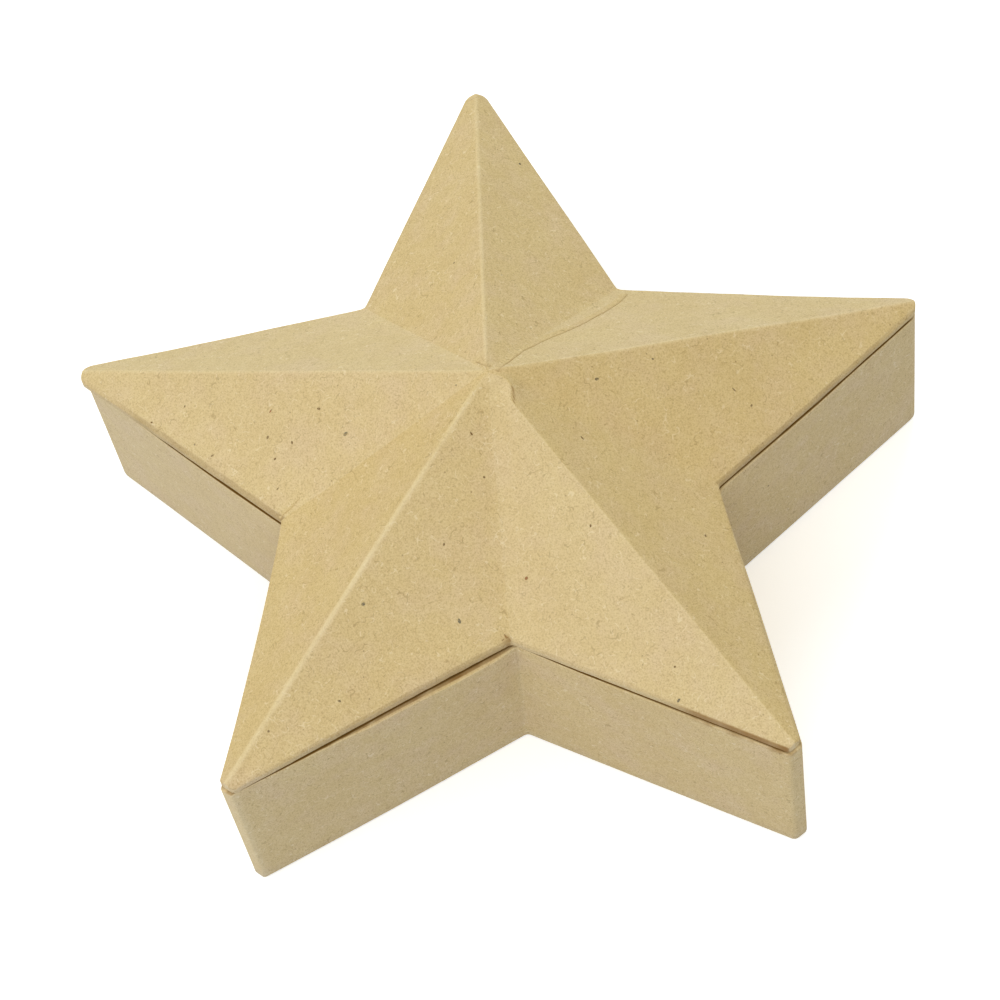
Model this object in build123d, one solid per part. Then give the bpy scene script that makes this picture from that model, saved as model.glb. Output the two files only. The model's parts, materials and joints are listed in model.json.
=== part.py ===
from build123d import *
import os
from math import cos, hypot, radians, sin, sqrt

# Star box of wrapped board: an open tray with straight walls, and a lift-off
# lid that is a low five-armed pyramid. All sizes are in millimetres.
# The origin is the star's centre on the underside, +Z is up and the first
# arm points along +Y. Arms and notches are counted clockwise from above.

# Plan of the star
arm_count = 5
tip_reach = 109.0
notch_reach = 52.7
first_heading = 90.0

# The box is cut and folded by hand, so no two arms are quite alike:
# how much longer each arm is, and how far it and the notch after it turn
arm_extra = [1.6, -0.6, 0.1, 0.1, -1.2]
arm_turn = [0.8, -1.3, 1.0, -0.8, 0.3]
notch_turn = [-0.7, 0.2, 0.9, 0.3, -0.6]

# Heights
tray_height = 43.5
rim_height = 1.8
peak_height = 30.5

# The peak of the lid is not quite over the middle of its star
peak_shift_x = 1.5
peak_shift_y = 0.2

# Sheet stock
board = 2.0
paper = 0.3

# Folds, as the radius of the outside of each bend
tray_tip_round = 2.6
lid_tip_round = 3.0
collar_tip_round = 2.3
notch_round = 0.6
tightest_fold = 0.2
ridge_round = 2.5

# Width of the softened edge round the top and the foot of the tray
edge_soft = 0.4

# Soft peak, where the five ridges run together: its radius, and how far its
# top lies under the point where the flat faces would meet
peak_round = 4.0
peak_blunt = 0.25

# Collar inside the lid, which hangs down into the tray
collar_clearance = 1.4
collar_drop = 12.0

# Where the lid sits on the tray, off centre within the play of its collar
lid_shift_x = -0.8
lid_shift_y = 0.5

# Margins of the wrapping paper: down inside the tray, under its floor,
# and how far the sheet on the underside stays inside the edge
turn_in = 14.0
turn_under = 11.0
sheet_margin = 3.0

# How far the lid's sloping faces are first made past the rim, as a share
# of their length, before the rim trims them
roof_overrun = 0.4

# Worked out from the sizes above
step_angle = 360.0 / arm_count
tray_inner = 2 * paper + board
floor_bottom = 2 * paper
floor_top = floor_bottom + board
collar_outer = tray_inner + collar_clearance
collar_inner = collar_outer + board
lid_bottom = tray_height
rim_top = lid_bottom + rim_height
peak_top = rim_top + peak_height


def polar(reach, heading):
    """A corner of the plan from its distance and its heading in degrees."""
    return reach * cos(radians(heading)), reach * sin(radians(heading))


def tip_corner(arm):
    heading = first_heading - arm * step_angle + arm_turn[arm]
    return polar(tip_reach + arm_extra[arm], heading)


def notch_corner(arm):
    heading = first_heading - (arm + 0.5) * step_angle + notch_turn[arm]
    return polar(notch_reach, heading)


def inward_normal(start, end):
    """Unit normal of one side, to the right of a clockwise outline."""
    length = hypot(end[0] - start[0], end[1] - start[1])
    return (end[1] - start[1]) / length, (start[0] - end[0]) / length


def inset_corner(before, corner, after, inset):
    """The corner of the outline that lies the inset inside both sides."""
    first = inward_normal(before, corner)
    second = inward_normal(corner, after)
    share = inset / (1 + first[0] * second[0] + first[1] * second[1])
    return (
        corner[0] + share * (first[0] + second[0]),
        corner[1] + share * (first[1] + second[1]),
    )


def star_corners(inset):
    """Tips and notches in turn, moved inwards by the same distance."""
    corners = []
    for arm in range(arm_count):
        corners += [tip_corner(arm), notch_corner(arm)]
    count = len(corners)
    return [
        inset_corner(corners[i - 1], corners[i], corners[(i + 1) % count], inset)
        for i in range(count)
    ]


def star_prism(inset, tip_round, bend_round, low, high):
    """Upright star between two heights, with its corners rounded."""
    radii = [tip_round, bend_round] * arm_count
    outline = FilletPolyline(*star_corners(inset), radius=radii, close=True)
    return Pos(0, 0, low) * extrude(make_face(outline), high - low)


def tray_prism(inset, low, high):
    """A star that follows the folds of the tray's wall."""
    tip_round = max(tray_tip_round - inset, tightest_fold)
    return star_prism(inset, tip_round, notch_round + inset, low, high)


def lid_prism(inset, low, high):
    """A star that follows the rim of the lid."""
    tip_round = max(lid_tip_round - inset, tightest_fold)
    return star_prism(inset, tip_round, notch_round + inset, low, high)


def collar_prism(inset, low, high):
    """A star that follows the folds of the collar."""
    depth = inset - collar_outer
    tip_round = max(collar_tip_round - depth, tightest_fold)
    return star_prism(inset, tip_round, notch_round + depth, low, high)


def seat_lid(shape):
    """Move a piece of the lid to where the lid sits on the tray."""
    return Pos(lid_shift_x, lid_shift_y, 0) * shape


def roof_arm(arm):
    """One arm of the pyramid with a soft ridge, run out past the rim."""
    peak = Vector(peak_shift_x, peak_shift_y, peak_top)
    corners = [notch_corner(arm - 1), tip_corner(arm), notch_corner(arm)]
    run_out = [
        peak + (Vector(x, y, rim_top) - peak) * (1 + roof_overrun) for x, y in corners
    ]
    foot = Vector(peak.X, peak.Y, run_out[0].Z)
    block = ConvexPolyhedron([peak, foot, *run_out])
    ridge_middle = (peak + run_out[1]) / 2
    ridge = block.edges().sort_by_distance(ridge_middle)[0]
    return fillet(ridge, ridge_round)


def soft_peak():
    """Ball that rounds the peak where the ridges run together."""
    height = peak_top - peak_blunt - peak_round
    return Pos(peak_shift_x, peak_shift_y, height) * Sphere(peak_round)


def roof():
    """The five arms of the pyramid as one solid."""
    arms = [roof_arm(arm) for arm in range(arm_count)]
    return arms[0].fuse(*arms[1:], soft_peak()).clean()


def face_slope():
    """Rise of a sloping face for each millimetre in from its side."""
    tip = polar(tip_reach, 0)
    notch = polar(notch_reach, step_angle / 2)
    side = hypot(tip[0] - notch[0], tip[1] - notch[1])
    apothem = tip[0] * notch[1] / side
    return peak_height / apothem


def lid_form(depth, low):
    """The lid's outer form, moved inwards by a depth of board or paper."""
    drop = depth * sqrt(1 + face_slope() ** 2)
    return lid_prism(depth, low, peak_top) & (Pos(0, 0, -drop) * roof())


def make_tray_floor():
    """Star of board, glued inside the foot of the wall."""
    return tray_prism(paper + board, floor_bottom, floor_top)


def make_tray_wall():
    """Strip of board folded round the star, ten panels in one piece."""
    outside = tray_prism(paper, floor_bottom, tray_height - paper)
    return outside - tray_prism(paper + board, 0, tray_height)


def make_tray_wrap():
    """Kraft paper over the wall, turned down inside it and under the floor."""
    skin = tray_prism(0, paper, tray_height)
    edges = skin.edges().group_by(Axis.Z)
    skin = chamfer(edges[0] + edges[-1], edge_soft)
    skin -= tray_prism(paper, floor_bottom, tray_height - paper)
    skin -= tray_prism(turn_under, 0, floor_bottom)
    skin -= tray_prism(tray_inner, floor_bottom, 2 * tray_height)
    lining = tray_prism(paper + board, tray_height - turn_in, tray_height - paper)
    lining -= tray_prism(tray_inner, 0, tray_height)
    return skin + lining


def make_underside_sheet():
    """Star of kraft paper glued over the margins that turn under."""
    return tray_prism(sheet_margin, 0, paper)


def make_lid_shell():
    """Board pyramid in one folded piece, its cut edge standing as the rim."""
    return lid_form(paper, lid_bottom + paper) - lid_form(paper + board, 0)


def make_lid_wrap():
    """Kraft paper over the pyramid, turned under the rim."""
    skin = lid_form(0, lid_bottom) - lid_form(paper, lid_bottom + paper)
    return skin - lid_prism(paper + board, 0, lid_bottom + paper)


def make_lid_collar():
    """Folded strip glued up under the sloping faces, loose in the tray."""
    low = lid_bottom - collar_drop
    strip = collar_prism(collar_outer, low, peak_top)
    strip -= collar_prism(collar_inner, 0, 2 * peak_top)
    return strip & lid_form(paper + board, 0)


def build():
    """Every piece of the box by name, in place."""
    return {
        "tray_floor": make_tray_floor(),
        "tray_wall": make_tray_wall(),
        "tray_wrap": make_tray_wrap(),
        "underside_sheet": make_underside_sheet(),
        "lid_shell": seat_lid(make_lid_shell()),
        "lid_wrap": seat_lid(make_lid_wrap()),
        "lid_collar": seat_lid(make_lid_collar()),
    }


os.makedirs("parts", exist_ok=True)
for name, shape in build().items():
    export_step(shape, "parts/" + name + ".step")
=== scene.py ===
import json
import math

import bmesh
import bpy
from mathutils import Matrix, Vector, noise

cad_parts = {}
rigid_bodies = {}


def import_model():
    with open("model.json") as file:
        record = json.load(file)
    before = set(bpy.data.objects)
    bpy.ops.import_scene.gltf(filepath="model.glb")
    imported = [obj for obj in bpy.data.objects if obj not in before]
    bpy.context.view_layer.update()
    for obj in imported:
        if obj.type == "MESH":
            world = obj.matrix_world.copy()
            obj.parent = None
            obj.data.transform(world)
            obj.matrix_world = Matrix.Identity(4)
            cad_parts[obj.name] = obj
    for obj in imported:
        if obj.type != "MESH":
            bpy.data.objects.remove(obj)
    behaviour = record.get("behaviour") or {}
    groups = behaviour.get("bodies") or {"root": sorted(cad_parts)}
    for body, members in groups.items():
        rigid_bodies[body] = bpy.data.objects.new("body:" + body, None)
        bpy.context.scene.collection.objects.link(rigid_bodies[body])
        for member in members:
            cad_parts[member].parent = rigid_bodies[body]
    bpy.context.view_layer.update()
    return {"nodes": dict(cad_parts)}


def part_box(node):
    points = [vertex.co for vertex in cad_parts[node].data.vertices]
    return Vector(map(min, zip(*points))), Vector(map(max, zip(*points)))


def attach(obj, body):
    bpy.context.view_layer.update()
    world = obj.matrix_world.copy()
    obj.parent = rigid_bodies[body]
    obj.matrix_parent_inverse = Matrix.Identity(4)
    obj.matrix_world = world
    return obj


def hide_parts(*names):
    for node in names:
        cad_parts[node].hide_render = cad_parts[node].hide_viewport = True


# Star box of folded grey board wrapped in brown kraft paper: an open tray
# with straight walls, and a lift-off lid that is a low five-armed pyramid.
# Shapes are worked out in millimetres and turned to metres at the end.
# Arms and notches are counted clockwise from the arm that points along +Y.

for leftover in list(bpy.data.objects):
    bpy.data.objects.remove(leftover)

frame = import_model()

MM = 0.001

# Plan of the star, as the CAD model has it
ARM_COUNT = 5
STEP_ANGLE = 360 / ARM_COUNT
TIP_REACH = 109.0
NOTCH_REACH = 52.7
FIRST_HEADING = 90.0
ARM_EXTRA = [1.6, -0.6, 0.1, 0.1, -1.2]
ARM_TURN = [0.8, -1.3, 1.0, -0.8, 0.3]
NOTCH_TURN = [-0.7, 0.2, 0.9, 0.3, -0.6]

# Where the lid's peak lies in its own star, and where the lid sits
PEAK = Vector((1.5, 0.2))
LID_SHIFT = Vector((-0.8, 0.5, 0.0))

# Sheet stock
BOARD = 2.0
PAPER = 0.3

# Margins of the wrapping paper, down inside the tray and under its floor
TURN_IN = 14.0
TURN_UNDER = 11.0

# Heights, read from the CAD pieces
TRAY_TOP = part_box("tray_wrap")[1].z / MM
TRAY_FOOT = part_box("tray_wrap")[0].z / MM
FLOOR_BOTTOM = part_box("tray_floor")[0].z / MM
LID_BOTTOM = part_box("lid_wrap")[0].z / MM
PEAK_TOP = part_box("lid_wrap")[1].z / MM
RIM_HEIGHT = 1.8
RIM_TOP = LID_BOTTOM + RIM_HEIGHT

# Corners of the plan: how far back along its sides each tip is cut, and for
# those that are blunt, how far their two edges are softened
LID_TIP_CUTS = [(5.9, 1.2), (7.0, 0), (4.0, 0.9), (4.8, 0.8), (5.3, 1.3)]
TRAY_TIP_CUTS = [(5.2, 1.3), (6.0, 0), (4.4, 0.9), (3.6, 0.5), (6.6, 0)]
BEND_CUT = 0.9
TIP_SEGMENTS = 10
BEND_SEGMENTS = 4
LONGEST_BLUNT_END = 5.0
SIDE_STEP = 1.6
TIP_STEP = 0.3

# Folds of the lid: the band of height over which two faces run together, and
# how wide it is for each mm from the peak, where the folds narrow to the least
RIDGE_SOFT = 0.45
RIDGE_GROWTH = 0.2
VALLEY_SOFT = 1.0
VALLEY_GROWTH = 0.3
LEAST_SOFT = 0.05
PEAK_SOFT = 1.0


def polar(reach, heading):
    """Corner of the plan from its distance and its heading in degrees."""
    turn = math.radians(heading)
    return Vector((reach * math.cos(turn), reach * math.sin(turn)))


def tip_corner(arm):
    """Sharp corner at the end of one arm."""
    heading = FIRST_HEADING - arm * STEP_ANGLE + ARM_TURN[arm]
    return polar(TIP_REACH + ARM_EXTRA[arm], heading)


def notch_corner(arm):
    """Inner corner that follows one arm, clockwise."""
    heading = FIRST_HEADING - (arm + 0.5) * STEP_ANGLE + NOTCH_TURN[arm]
    return polar(NOTCH_REACH, heading)


TIPS = [tip_corner(arm) for arm in range(ARM_COUNT)]
NOTCHES = [notch_corner(arm) for arm in range(ARM_COUNT)]


def mean_apothem():
    """Distance from the middle to the line of a side, on the regular star."""
    tip = polar(TIP_REACH, 0)
    notch = polar(NOTCH_REACH, STEP_ANGLE / 2)
    return tip.x * notch.y / (tip - notch).length


APOTHEM = mean_apothem()
PEAK_HEIGHT = 30.5
FACE_SLOPE = PEAK_HEIGHT / APOTHEM


def smooth_step(low, high, value):
    """0 up to low, 1 from high on, and an even turn between them."""
    share = min(max((value - low) / (high - low), 0.0), 1.0)
    return share * share * (3 - 2 * share)


def fade_out(low, high, value):
    """1 up to low, 0 from high on, and an even turn between them."""
    return 1 - smooth_step(low, high, value)


def soft_min(first, second, reach):
    """The lower of two heights, run together where they are near."""
    near = max(reach - abs(first - second), 0.0) / reach
    return min(first, second) - near * near * reach / 4


def soft_max(first, second, reach):
    """The higher of two heights, run together where they are near."""
    return -soft_min(-first, -second, reach)


def along_stops(stops, place):
    """Value between stops of (place, value), eased from one to the next."""
    for (low, before), (high, after) in zip(stops, stops[1:]):
        if place <= high:
            return before + (after - before) * smooth_step(low, high, place)
    return stops[-1][1]


def distance_to_path(point, path):
    """Distance in plan from a point to a line of straight runs."""
    nearest = 1e9
    for start, end in zip(path, path[1:]):
        run = Vector(end) - Vector(start)
        offset = point - Vector(start)
        share = min(max(offset.dot(run) / run.length_squared, 0.0), 1.0)
        nearest = min(nearest, (offset - run * share).length)
    return nearest


def ripple(point, strength, size, seed):
    """Smooth random number up to a strength, that changes over a size in mm."""
    return strength * noise.noise(Vector((point.x / size, point.y / size, seed)))


# The lid's folded faces


def face_fall(tip, notch):
    """Fall of one sloping face for each mm in X and in Y, from the peak."""
    first = tip - PEAK
    second = notch - PEAK
    cross = first.x * second.y - first.y * second.x
    across = Vector((second.y - first.y, first.x - second.x))
    return across * (PEAK_HEIGHT / cross)


FALLS = [
    (face_fall(TIPS[arm], NOTCHES[arm - 1]), face_fall(TIPS[arm], NOTCHES[arm]))
    for arm in range(ARM_COUNT)
]


def arm_at(offset):
    """The arm whose two notches enclose a place given from the peak."""
    for arm in range(ARM_COUNT):
        before = NOTCHES[arm - 1] - PEAK
        after = NOTCHES[arm] - PEAK
        if before.cross(offset) <= 0 <= after.cross(offset):
            return arm
    return 0


def side_place(point):
    """Arm and side of it, share of the way out, and share from its tip on."""
    offset = point - PEAK
    arm = arm_at(offset)
    falls = [fall.dot(offset) for fall in FALLS[arm]]
    side = 0 if falls[0] > falls[1] else 1
    reach = max(falls[side] / PEAK_HEIGHT, 1e-6)
    run = NOTCHES[arm - 1 + side] - TIPS[arm]
    along = (PEAK + offset / reach - TIPS[arm]).dot(run) / run.length_squared
    return arm, side, reach, min(max(along, 0.0), 1.0)


def inset_from_side(point):
    """Distance in from the side's straight line."""
    arm, side, reach, along = side_place(point)
    return (1 - reach) * PEAK_HEIGHT / FALLS[arm][side].length


# Near the peak the second and third arms' folds don't run straight to it:
# the faces are drawn over this far, about this place
PEAK_PULL = Vector((2.0, 1.2))
PULL_PLACE = Vector((5.6, -2.4))
PULL_REACH = 5.5


def drawn_over(point):
    """The place on the plain folded faces that shows at a place in plan."""
    pulled = fade_out(0.0, PULL_REACH, (point - PULL_PLACE).length)
    return point - PEAK_PULL * pulled


def folded_height(point):
    """Height over the rim of the ten folded faces at a place in plan."""
    offset = drawn_over(point) - PEAK
    arm = arm_at(offset)
    faces = [PEAK_HEIGHT - fall.dot(offset) for fall in FALLS[arm]]
    if faces[0] < faces[1]:
        next_fall = FALLS[arm - 1][1]
    else:
        next_fall = FALLS[(arm + 1) % ARM_COUNT][0]
    beyond_valley = PEAK_HEIGHT - next_fall.dot(offset)
    ridge = min(RIDGE_SOFT, RIDGE_GROWTH * offset.length + LEAST_SOFT)
    valley = min(VALLEY_SOFT, VALLEY_GROWTH * offset.length + LEAST_SOFT)
    height = soft_max(soft_min(*faces, ridge), beyond_valley, valley)
    return soft_min(height, PEAK_TOP - RIM_TOP, PEAK_SOFT)


# Creases pressed into the paper where the folds meet at the peak, each as how
# strong it is and its path. None lies further from the peak than their end.
PEAK_CREASES = [
    (0.6, [(-0.9, 4.6), (0.4, 3.0), (1.4, 2.2)]),
    (0.8, [(1.4, 2.2), (3.2, 1.9), (4.1, 0.4)]),
    (0.9, [(7.0, -3.4), (7.3, -5.2), (7.2, -7.2)]),
]
CREASE_DEPTH = 0.14
CREASE_HALF_WIDTH = 0.28
CREASES_END = 12


def crease_strength(point):
    """How deep in a crease at the peak a place is, from 0 to 1."""
    deepest = 0.0
    for strength, path in PEAK_CREASES:
        nearest = distance_to_path(point, path)
        deepest = max(deepest, strength * fade_out(0.0, CREASE_HALF_WIDTH, nearest))
    return deepest


# Unevenness of the lid's faces from folding by hand, each as how far the paper
# stands off, over what size in mm, and a seed, and where the crumple fades out
BROAD_WAVES = (0.30, 24, 3.1)
FINE_WAVES = (0.09, 8, 7.7)
CRUMPLE = (0.20, 2.6, 11.3)
CRUMPLE_FADE = (3, 11)


def hand_waves(point, from_peak):
    """How far the paper stands off a flat face, from folding by hand."""
    broad = ripple(point, *BROAD_WAVES)
    fine = ripple(point, *FINE_WAVES)
    crumple = ripple(point, *CRUMPLE) * fade_out(*CRUMPLE_FADE, from_peak)
    return broad + fine + crumple


# How far the lid's edge stands up off the tray along each side, as stops from
# the tip (0) to the notch (1) in mm, how much that wavers, and how far out
# towards the edge the lift starts. The faces rise a little more than the rim.
SIDE_LIFTS = {
    (0, 0): [(0.0, 0.15), (1.0, 0.15)],
    (0, 1): [(0.0, 0.15), (1.0, 0.15)],
    (1, 0): [(0.0, 0.35), (0.6, 0.2), (1.0, 0.15)],
    (1, 1): [(0.0, 0.35), (0.15, 0.5), (0.9, 0.5), (1.0, 0.4)],
    (2, 0): [(0.0, 0.15), (0.1, 0.35), (0.5, 0.3), (1.0, 0.4)],
    (2, 1): [
        (0.0, 0.15),
        (0.15, 0.2),
        (0.4, 0.3),
        (0.5, 0.45),
        (0.9, 0.5),
        (1.0, 0.45),
    ],
    (3, 0): [
        (0.0, 0.02),
        (0.05, 0.1),
        (0.12, 0.35),
        (0.45, 0.6),
        (0.8, 0.7),
        (1.0, 0.45),
    ],
    (3, 1): [(0.0, 0.02), (0.5, 0.15), (0.9, 0.2), (1.0, 0.9)],
    (4, 0): [(0.0, 0.15), (0.12, 0.5), (0.3, 0.95), (0.6, 0.95), (1.0, 0.9)],
    (4, 1): [(0.0, 0.15), (1.0, 0.15)],
}
LIFT_WAVER = (0.35, 3, 60.0)
LIFT_START = 0.75
RIM_RAISE = 1.2


def edge_lift(point):
    """How far the lid's edge stands up off the tray, less further in."""
    arm, side, reach, along = side_place(point)
    lift = along_stops(SIDE_LIFTS[arm, side], along)
    return lift * (1 + ripple(point, *LIFT_WAVER)) * smooth_step(LIFT_START, 1.0, reach)


# How far the outermost strip of each face is bent down, given the same way,
# and how wide the strip is and how much that wavers
SIDE_BENDS = {
    (0, 0): [(0.0, 0.0), (0.1, 0.15), (1.0, 0.15)],
    (0, 1): [(0.0, 0.0), (0.1, 0.15), (1.0, 0.15)],
    (1, 1): [(0.0, 0.2), (0.1, 0.4), (0.9, 0.4), (1.0, 0.25)],
    (2, 0): [(0.0, 0.1), (0.1, 0.25), (1.0, 0.1)],
    (2, 1): [(0.0, 0.1), (0.4, 0.15), (0.6, 0.35), (0.9, 0.35), (1.0, 0.25)],
    (3, 0): [
        (0.0, 0.15),
        (0.2, 0.25),
        (0.5, 0.2),
        (0.8, 0.3),
        (0.95, 0.4),
        (1.0, 0.25),
    ],
    (4, 0): [(0.0, 0.1), (0.2, 0.2), (0.45, 0.5), (0.8, 0.8), (1.0, 0.8)],
}
STRAIGHT = [(0.0, 0.0), (1.0, 0.0)]
BEND_WIDTH = 0.55
BEND_WIDTHS = {(4, 0): 0.95}
STRIP_WAVER = (0.3, 5, 17.0)


def bend_width(point):
    """Width of the bent strip along the lid's edge, which wavers."""
    arm, side, reach, along = side_place(point)
    width = BEND_WIDTHS.get((arm, side), BEND_WIDTH)
    return width * (1 + ripple(point, *STRIP_WAVER))


def lid_height(point):
    """Height of the lid's paper over the box's foot at a place in plan."""
    from_peak = (point - PEAK).length
    height = folded_height(point) + hand_waves(point, from_peak)
    if from_peak < CREASES_END:
        height -= CREASE_DEPTH * crease_strength(point)
    arm, side, reach, along = side_place(point)
    lifted = RIM_RAISE * edge_lift(point)
    bend = along_stops(SIDE_BENDS.get((arm, side), STRAIGHT), along)
    outer = max(1 - inset_from_side(point) / bend_width(point), 0.0)
    return RIM_TOP + height + lifted - bend * outer


# Rounded edge between the rim and the sloping faces: its radius, and as shares
# of it, how far in it reaches and how far its centre lies under the rim's top
RIM_ROUND = 0.35
ROUND_REACH = 0.455
ROUND_CENTRE = 0.543


def rim_drop(inset):
    """How far the rounded rim lies under the face's plane, at an inset."""
    if inset >= ROUND_REACH * RIM_ROUND:
        return 0.0
    rise = math.sqrt(RIM_ROUND**2 - (RIM_ROUND - inset) ** 2)
    return ROUND_CENTRE * RIM_ROUND + FACE_SLOPE * inset - rise


# The side from the fourth tip to the notch before it fits badly: the top of
# the wall stands out past the lid, as stops from the tip to the notch. The
# wall stays in place up to this share of its height.
BADLY_FITTING_SIDE = (3, 0)
BOW_STOPS = [
    (0.0, 0.0),
    (0.12, 0.0),
    (0.26, 0.15),
    (0.4, 0.45),
    (0.52, 1.0),
    (0.65, 1.02),
    (0.8, 1.15),
    (0.92, 1.0),
    (1.0, 0.2),
]
BOW_START = 0.1


def bow_of_wall(point, height):
    """Outward shift in plan of the tray's wall on its bowed side."""
    arm, side, reach, along = side_place(point)
    if (arm, side) != BADLY_FITTING_SIDE:
        return Vector((0, 0))
    outward = FALLS[arm][side].normalized()
    lifted = smooth_step(BOW_START, 1.0, height / TRAY_TOP)
    return outward * (along_stops(BOW_STOPS, along) * lifted)


# How far the corners of each body stand off the plan, tip and the notch
# after it for each arm, and how far the middles of the two sides of each arm
# stand out (or in) from the straight line. The tray leans a little, so its
# foot and its top have their own.
LID_TIP_SHIFTS = [(-0.3, 0), (0.9, -0.1), (0, 0), (0.75, -0.1), (-1.2, -1.35)]
LID_NOTCH_SHIFTS = [(-0.4, -0.6), (1.2, 0), (1.5, -0.4), (0, 0), (0, -0.6)]
LID_SIDE_BOWS = [(0, 0), (-0.4, 0.25), (-0.2, 0), (0, -0.7), (0, -0.2)]
FOOT_TIP_SHIFTS = [(-0.35, 0), (-0.15, -0.5), (0, -0.3), (0.25, 0.5), (-0.4, 0.6)]
FOOT_NOTCH_SHIFTS = [(-1.1, -0.4), (0, 0), (0, 0), (0, 0), (0, 0)]
FOOT_SIDE_BOWS = [(0, 0), (-0.3, 0.05), (0.1, 0.1), (0.3, -0.5), (-0.3, 0)]
TOP_TIP_SHIFTS = [(-0.35, 0), (-0.5, -0.5), (-0.35, -0.3), (0.2, 0.7), (-0.5, 0.2)]
TOP_NOTCH_SHIFTS = [(-1.1, -0.4), (0.8, 0), (1.5, -0.3), (-0.2, -0.4), (0, 0)]
TOP_SIDE_BOWS = [(0, 0), (-0.3, 0.15), (0.1, 0.3), (0, -0.5), (0.75, 0)]


def hand_shift(point, tips, notches, bows):
    """Shift in plan of a place between its side's corners, less further in."""
    arm, side, reach, along = side_place(point)
    corners = Vector(tips[arm]).lerp(Vector(notches[arm - 1 + side]), along)
    outward = FALLS[arm][side].normalized()
    bow = bows[arm][side] * 4 * along * (1 - along)
    return (corners + outward * bow) * min(reach, 1.0)


def lid_shift(point, height):
    """Unevenness of the lid in plan."""
    return hand_shift(point, LID_TIP_SHIFTS, LID_NOTCH_SHIFTS, LID_SIDE_BOWS)


# Waves of the tray's wall in plan: how far they go at its foot, and how much
# further at its open top, their size along the wall and up it, and their seeds
WAVES_AT_FOOT = 0.08
WAVES_ADDED = 0.14
WAVE_LENGTH = 22
WAVE_RISE = 60
WAVE_SEEDS = (21.0, 33.0)


def tray_waves(point, height):
    """Slight unevenness of the wall in plan, more at its open top."""
    size = WAVES_AT_FOOT + WAVES_ADDED * height / TRAY_TOP
    across, along = (
        ripple(point, 1.0, WAVE_LENGTH, seed + height / WAVE_RISE)
        for seed in WAVE_SEEDS
    )
    return Vector((across, along)) * size


def tray_shift(point, height):
    """Bow, waves and unevenness of the tray's wall together."""
    foot = hand_shift(point, FOOT_TIP_SHIFTS, FOOT_NOTCH_SHIFTS, FOOT_SIDE_BOWS)
    top = hand_shift(point, TOP_TIP_SHIFTS, TOP_NOTCH_SHIFTS, TOP_SIDE_BOWS)
    uneven = foot.lerp(top, height / TRAY_TOP)
    return uneven + bow_of_wall(point, height) + tray_waves(point, height)


def lid_edge_inset(point):
    """How far in from the wall's face the lid's edge lies, seen in plan."""
    arm, side, reach, along = side_place(point)
    outward = FALLS[arm][side].normalized()
    wall = hand_shift(point, TOP_TIP_SHIFTS, TOP_NOTCH_SHIFTS, TOP_SIDE_BOWS)
    edge = lid_shift(point, LID_BOTTOM) + LID_SHIFT.xy
    return (wall + bow_of_wall(point, TRAY_TOP) - edge).dot(outward)


# Skins: rings of the star's outline, joined one to the next


def round_corners(mesh, corners, cut, segments):
    """Cut corners of a flat outline, and give the corners that this makes."""
    return bmesh.ops.bevel(
        mesh,
        geom=corners,
        offset=cut,
        affect="VERTICES",
        segments=segments,
        profile=0.5,
        material=-1,
    )["verts"]


def star_outline(mesh, tip_cuts, bend_cut):
    """Ring of edges round the star in plan, with its corners rounded."""
    corners = []
    for arm in range(ARM_COUNT):
        corners.append(mesh.verts.new((*TIPS[arm], 0)))
        corners.append(mesh.verts.new((*NOTCHES[arm], 0)))
    mesh.faces.new(corners)
    for tip, (tip_cut, edge_cut) in zip(corners[0::2], tip_cuts):
        blunt = round_corners(mesh, [tip], tip_cut, 1 if edge_cut else TIP_SEGMENTS)
        if edge_cut:
            round_corners(mesh, blunt, edge_cut, BEND_SEGMENTS)
    round_corners(mesh, corners[1::2], bend_cut, BEND_SEGMENTS)
    bmesh.ops.delete(mesh, geom=mesh.faces[:], context="FACES_ONLY")
    for edge in mesh.edges[:]:
        length = edge.calc_length()
        step = SIDE_STEP if length > LONGEST_BLUNT_END else TIP_STEP
        cuts = 2 * round(length / step / 2) - 1
        if cuts > 0:
            bmesh.ops.subdivide_edges(mesh, edges=[edge], cuts=cuts)
    return mesh.edges[:]


def ring_corners(ring):
    """The vertices of a ring of edges, each once."""
    return list({vert: None for edge in ring for vert in edge.verts})


def next_ring(mesh, ring):
    """Extrude a ring of edges into a new one in the same place."""
    grown = bmesh.ops.extrude_edge_only(mesh, edges=ring)["geom"]
    edges = [part for part in grown if isinstance(part, bmesh.types.BMEdge)]
    return [edge for edge in edges if edge.is_boundary]


def star_sleeve(mesh, tip_cuts, centre, rings):
    """Skin through rings, each an inset and a rule for height over the plan."""
    ring = star_outline(mesh, tip_cuts, BEND_CUT)
    first = ring
    share = 1.0
    for count, (inset, height_at) in enumerate(rings):
        if count:
            ring = next_ring(mesh, ring)
        share_after = 1 - inset / APOTHEM
        for vert in ring_corners(ring):
            vert.co.xy = centre + (vert.co.xy - centre) * (share_after / share)
            vert.co.z = height_at(vert.co.xy)
        share = share_after
    return first, ring


def level(height):
    """Rule for a ring that lies flat at one height."""
    return lambda point: height


def lifted_level(height):
    """Rule for a ring at the lid's foot, which stands up off the tray."""
    return lambda point: height + edge_lift(point)


# Height of the cut edge of the board over the foot of the lid's paper
BOARD_FOOT = 0.4


def on_lid(depth, inset):
    """Rule for a ring on the lid's faces, some way under the paper's surface."""
    sink = depth * math.sqrt(1 + FACE_SLOPE**2) + rim_drop(inset)
    foot = LID_BOTTOM + BOARD_FOOT
    if depth == 0:
        return lambda point: lid_height(point) - sink
    return lambda point: max(lid_height(point) - sink, foot + edge_lift(point))


def even_steps(start, end, count):
    """Values from start to end, the end left out."""
    return [start + (end - start) * step / count for step in range(count)]


def steps_to(start, end, count):
    """Values from start to end, both ends in."""
    return even_steps(start, end, count) + [end]


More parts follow.
